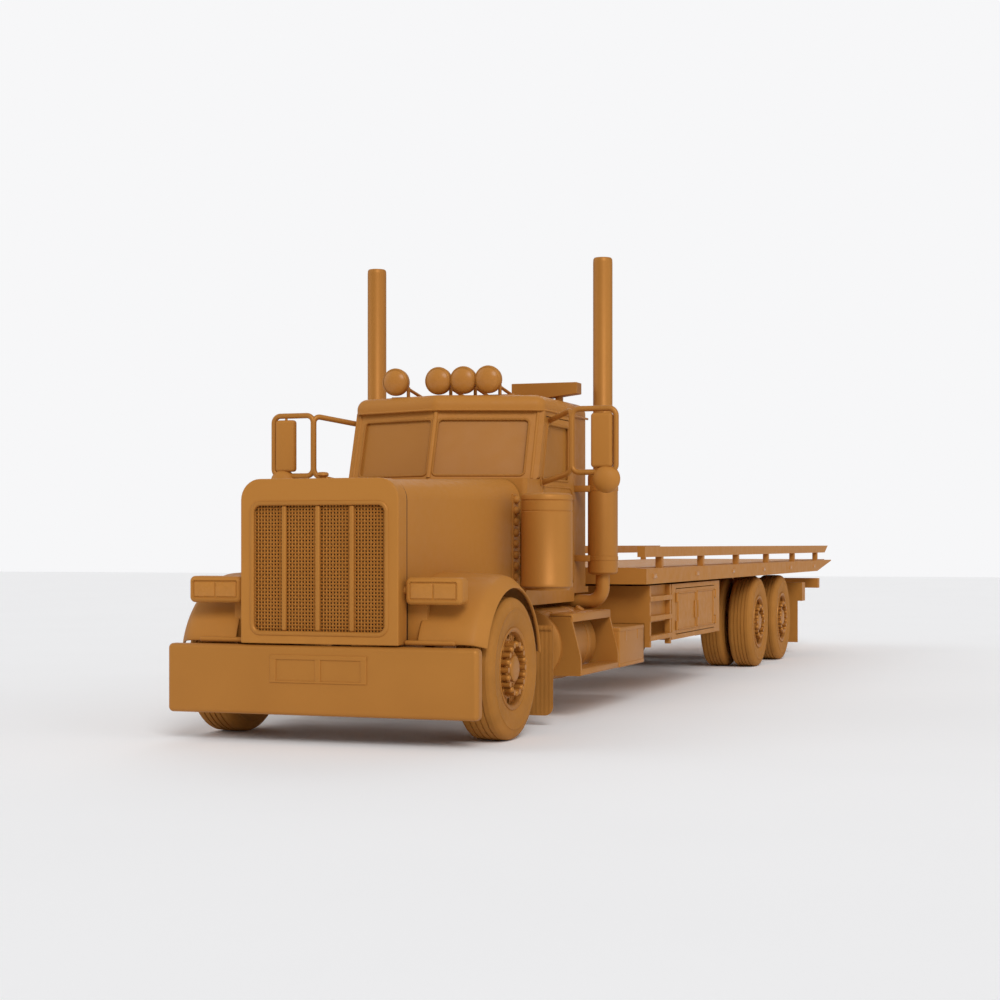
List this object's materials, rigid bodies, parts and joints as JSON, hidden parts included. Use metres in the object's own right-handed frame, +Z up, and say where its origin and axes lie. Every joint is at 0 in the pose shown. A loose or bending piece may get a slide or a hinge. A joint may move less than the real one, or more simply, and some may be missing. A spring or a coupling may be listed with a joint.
{
  "type": "flatbed truck",
  "caption": "Long-nose conventional flatbed truck with a day cab, twin stacks, tandem rear axles and a bed that tilts and slides back to load.",
  "frame": {"origin": "on the ground, under the middle of the overall length and width", "axes": "+X to the front of the truck, +Y to its left side, +Z up"},
  "size_m": [13.69, 3.11, 3.8999],
  "materials": {
    "body_paint": "satin",
    "bed_paint": "satin",
    "bright_metal": "satin",
    "mesh_metal": "satin",
    "frame_paint": "matte",
    "tyre": "matte",
    "flap_rubber": "matte",
    "glass": "gloss",
    "seat_cover": "matte",
    "dash_plastic": "matte"
  },
  "bodies": {
    "chassis": {"frame_rails": "frame_paint", "frame_crossmembers": "frame_paint", "front_axle": "frame_paint", "front_springs": "frame_paint", "rear_axles": "frame_paint", "balance_beams": "frame_paint", "engine": "frame_paint", "drive_shafts": "frame_paint", "front_bumper": "bright_metal", "cab_floor": "body_paint", "cab_front": "body_paint", "cab_rear": "body_paint", "cab_roof": "body_paint", "cab_glass": "glass", "seats": "seat_cover", "dashboard": "dash_plastic", "roof_lamps": "bright_metal", "air_cleaners": "bright_metal", "exhaust_stacks": "bright_metal", "fuel_tanks": "bright_metal", "cab_steps": "bright_metal", "side_boxes": "bright_metal", "front_flaps": "flap_rubber", "rear_bumper": "bed_paint", "toolboxes": "body_paint", "ladders": "body_paint"},
    "hood": {"hood_shell": "body_paint", "fenders": "body_paint", "grille_surround": "bright_metal", "grille_mesh": "mesh_metal", "headlights": "bright_metal"},
    "knuckle_left": {"knuckle_left": "frame_paint"},
    "knuckle_right": {"knuckle_right": "frame_paint"},
    "front_wheel_left": {"front_tyre_left": "tyre", "front_wheel_left": "bright_metal"},
    "front_wheel_right": {"front_tyre_right": "tyre", "front_wheel_right": "bright_metal"},
    "bed_subframe": {"bed_subframe": "bed_paint"},
    "bed": {"bed_deck": "bed_paint", "bed_rails": "bed_paint"},
    "door_left": {"door_left": "body_paint", "door_glass_left": "glass", "mirror_left": "bright_metal"},
    "forward_wheels_left": {"forward_twin_tyres_left": "tyre", "forward_twin_wheel_left": "bright_metal"},
    "rearward_wheels_left": {"rearward_twin_tyres_left": "tyre", "rearward_twin_wheel_left": "bright_metal"},
    "toolbox_leaf_front_left": {"toolbox_leaf_front_left": "body_paint"},
    "toolbox_leaf_rear_left": {"toolbox_leaf_rear_left": "body_paint"},
    "door_right": {"door_right": "body_paint", "door_glass_right": "glass", "mirror_right": "bright_metal"},
    "forward_wheels_right": {"forward_twin_tyres_right": "tyre", "forward_twin_wheel_right": "bright_metal"},
    "rearward_wheels_right": {"rearward_twin_tyres_right": "tyre", "rearward_twin_wheel_right": "bright_metal"},
    "toolbox_leaf_front_right": {"toolbox_leaf_front_right": "body_paint"},
    "toolbox_leaf_rear_right": {"toolbox_leaf_rear_right": "body_paint"}
  },
  "joints": [
    {"name": "hood_tilt", "type": "hinge", "parent": "chassis", "child": "hood", "pos_m": [6.83, 0, 0.722], "axis": [0, 1, 0], "range_deg": [0, 70]},
    {"name": "door_left_swing", "type": "hinge", "parent": "chassis", "child": "door_left", "pos_m": [4.479, 0.8593, 1.5], "axis": [0, 0, -1], "range_deg": [0, 65]},
    {"name": "steer_left", "type": "hinge", "parent": "chassis", "child": "knuckle_left", "pos_m": [6.065, 0.93, 0.52], "axis": [0, 0, 1], "range_deg": [-36, 36]},
    {"name": "front_wheel_left_spin", "type": "hinge", "parent": "knuckle_left", "child": "front_wheel_left", "pos_m": [6.065, 1.06, 0.52], "axis": [0, 1, 0], "continuous": true},
    {"name": "forward_wheels_left_spin", "type": "hinge", "parent": "chassis", "child": "forward_wheels_left", "pos_m": [-2.325, 0.912, 0.52], "axis": [0, 1, 0], "continuous": true},
    {"name": "rearward_wheels_left_spin", "type": "hinge", "parent": "chassis", "child": "rearward_wheels_left", "pos_m": [-3.675, 0.912, 0.52], "axis": [0, 1, 0], "continuous": true},
    {"name": "toolbox_leaf_front_left_swing", "type": "hinge", "parent": "chassis", "child": "toolbox_leaf_front_left", "pos_m": [1.595, 1.2403, 0.776], "axis": [0, 0, -1], "range_deg": [0, 100]},
    {"name": "toolbox_leaf_rear_left_swing", "type": "hinge", "parent": "chassis", "child": "toolbox_leaf_rear_left", "pos_m": [0.015, 1.2403, 0.776], "axis": [0, 0, 1], "range_deg": [0, 100]},
    {"name": "door_right_swing", "type": "hinge", "parent": "chassis", "child": "door_right", "pos_m": [4.479, -0.8593, 1.5], "axis": [0, 0, 1], "range_deg": [0, 65]},
    {"name": "steer_right", "type": "hinge", "parent": "chassis", "child": "knuckle_right", "pos_m": [6.065, -0.93, 0.52], "axis": [0, 0, 1], "range_deg": [-36, 36]},
    {"name": "front_wheel_right_spin", "type": "hinge", "parent": "knuckle_right", "child": "front_wheel_right", "pos_m": [6.065, -1.06, 0.52], "axis": [0, 1, 0], "continuous": true},
    {"name": "forward_wheels_right_spin", "type": "hinge", "parent": "chassis", "child": "forward_wheels_right", "pos_m": [-2.325, -0.912, 0.52], "axis": [0, 1, 0], "continuous": true},
    {"name": "rearward_wheels_right_spin", "type": "hinge", "parent": "chassis", "child": "rearward_wheels_right", "pos_m": [-3.675, -0.912, 0.52], "axis": [0, 1, 0], "continuous": true},
    {"name": "toolbox_leaf_front_right_swing", "type": "hinge", "parent": "chassis", "child": "toolbox_leaf_front_right", "pos_m": [1.595, -1.2403, 0.776], "axis": [0, 0, 1], "range_deg": [0, 100]},
    {"name": "toolbox_leaf_rear_right_swing", "type": "hinge", "parent": "chassis", "child": "toolbox_leaf_rear_right", "pos_m": [0.015, -1.2403, 0.776], "axis": [0, 0, -1], "range_deg": [0, 100]},
    {"name": "bed_tilt", "type": "hinge", "parent": "chassis", "child": "bed_subframe", "pos_m": [-5.135, 0, 0.985], "axis": [0, -1, 0], "range_deg": [0, 12.5]},
    {"name": "bed_slide", "type": "slide", "parent": "bed_subframe", "child": "bed", "axis": [-1, 0, 0], "range_m": [0, 3.6]}
  ],
  "couplings": [
    {"joint": "steer_right", "follows": "steer_left", "ratio": 1}
  ]
}
